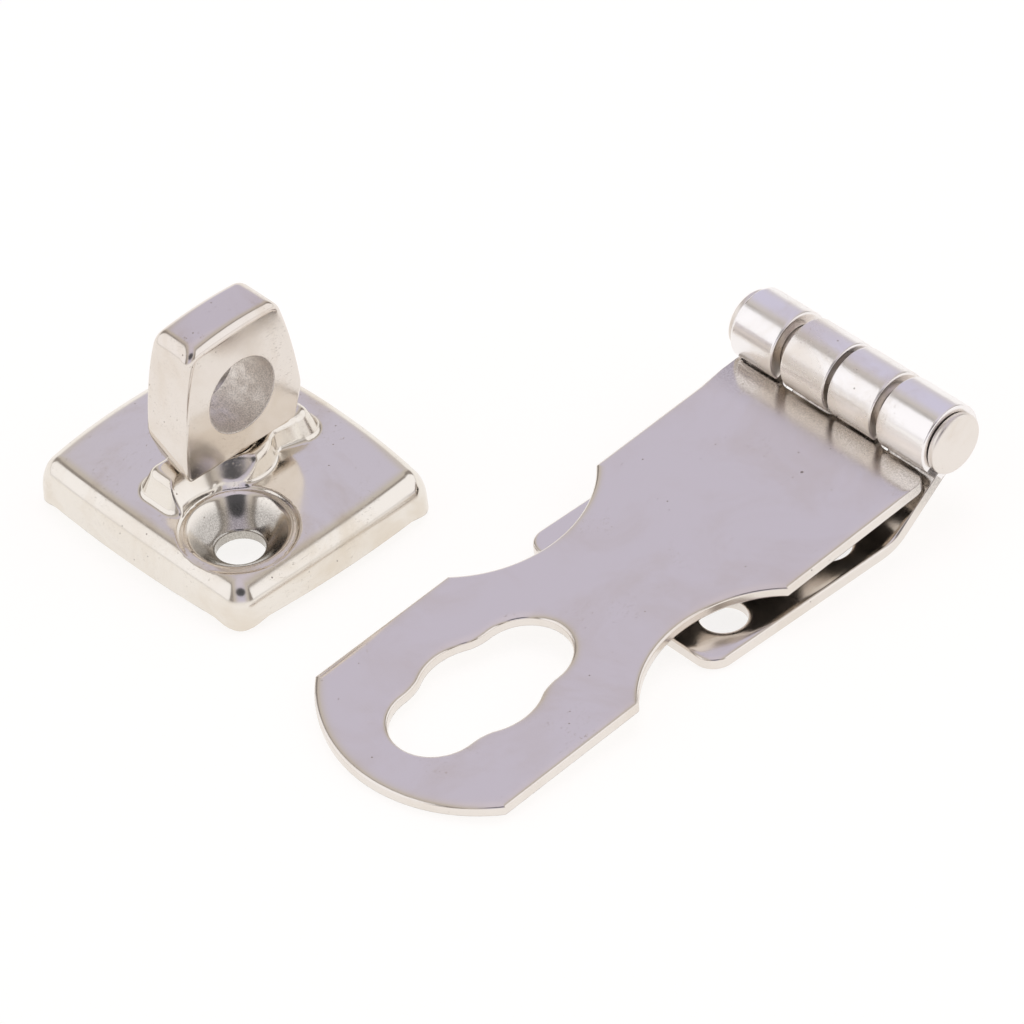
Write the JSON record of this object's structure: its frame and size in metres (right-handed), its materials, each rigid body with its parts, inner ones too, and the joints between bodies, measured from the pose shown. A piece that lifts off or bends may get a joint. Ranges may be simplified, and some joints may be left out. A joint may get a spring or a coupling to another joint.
{
  "type": "hasp and staple",
  "caption": "Folding steel hasp with a waisted cover leaf and a lobed slot, and a swivel eye on a pressed dish, to be padlocked.",
  "frame": {"origin": "middle of the four screws of the hasp's base leaf, on the mounting surface", "axes": "+Z away from the mounting surface, +Y towards the hinge, +X along the hinge pin, the cover leaf pointing along -Y and the staple on the -X side"},
  "size_m": [0.076, 0.0758, 0.0267],
  "materials": {
    "leaf_steel": "polished stainless steel, lightly handled",
    "pin_steel": "polished stainless steel",
    "pressed_steel": "polished stainless steel, pressed",
    "cast_steel": "cast stainless steel, tumbled and polished, fine pits, rough inside the hole",
    "washer_steel": "plain stainless steel"
  },
  "bodies": {
    "base": {"base_leaf": "leaf_steel", "hinge_pin": "pin_steel", "staple_base": "pressed_steel", "spring_washer": "washer_steel"},
    "leaf": {"hasp_leaf": "leaf_steel"},
    "swivel": {"swivel_staple": "cast_steel", "retaining_washer": "washer_steel"}
  },
  "joints": [
    {"name": "leaf_swing", "type": "hinge", "parent": "base", "child": "leaf", "pos_m": [0, 0.0213, 0.0101], "axis": [-1, 0, 0], "range_deg": [0, 194]},
    {"name": "staple_swivel", "type": "hinge", "parent": "base", "child": "swivel", "pos_m": [-0.0429, -0.0299, 0.0093], "axis": [0, 0, 1], "continuous": true}
  ]
}
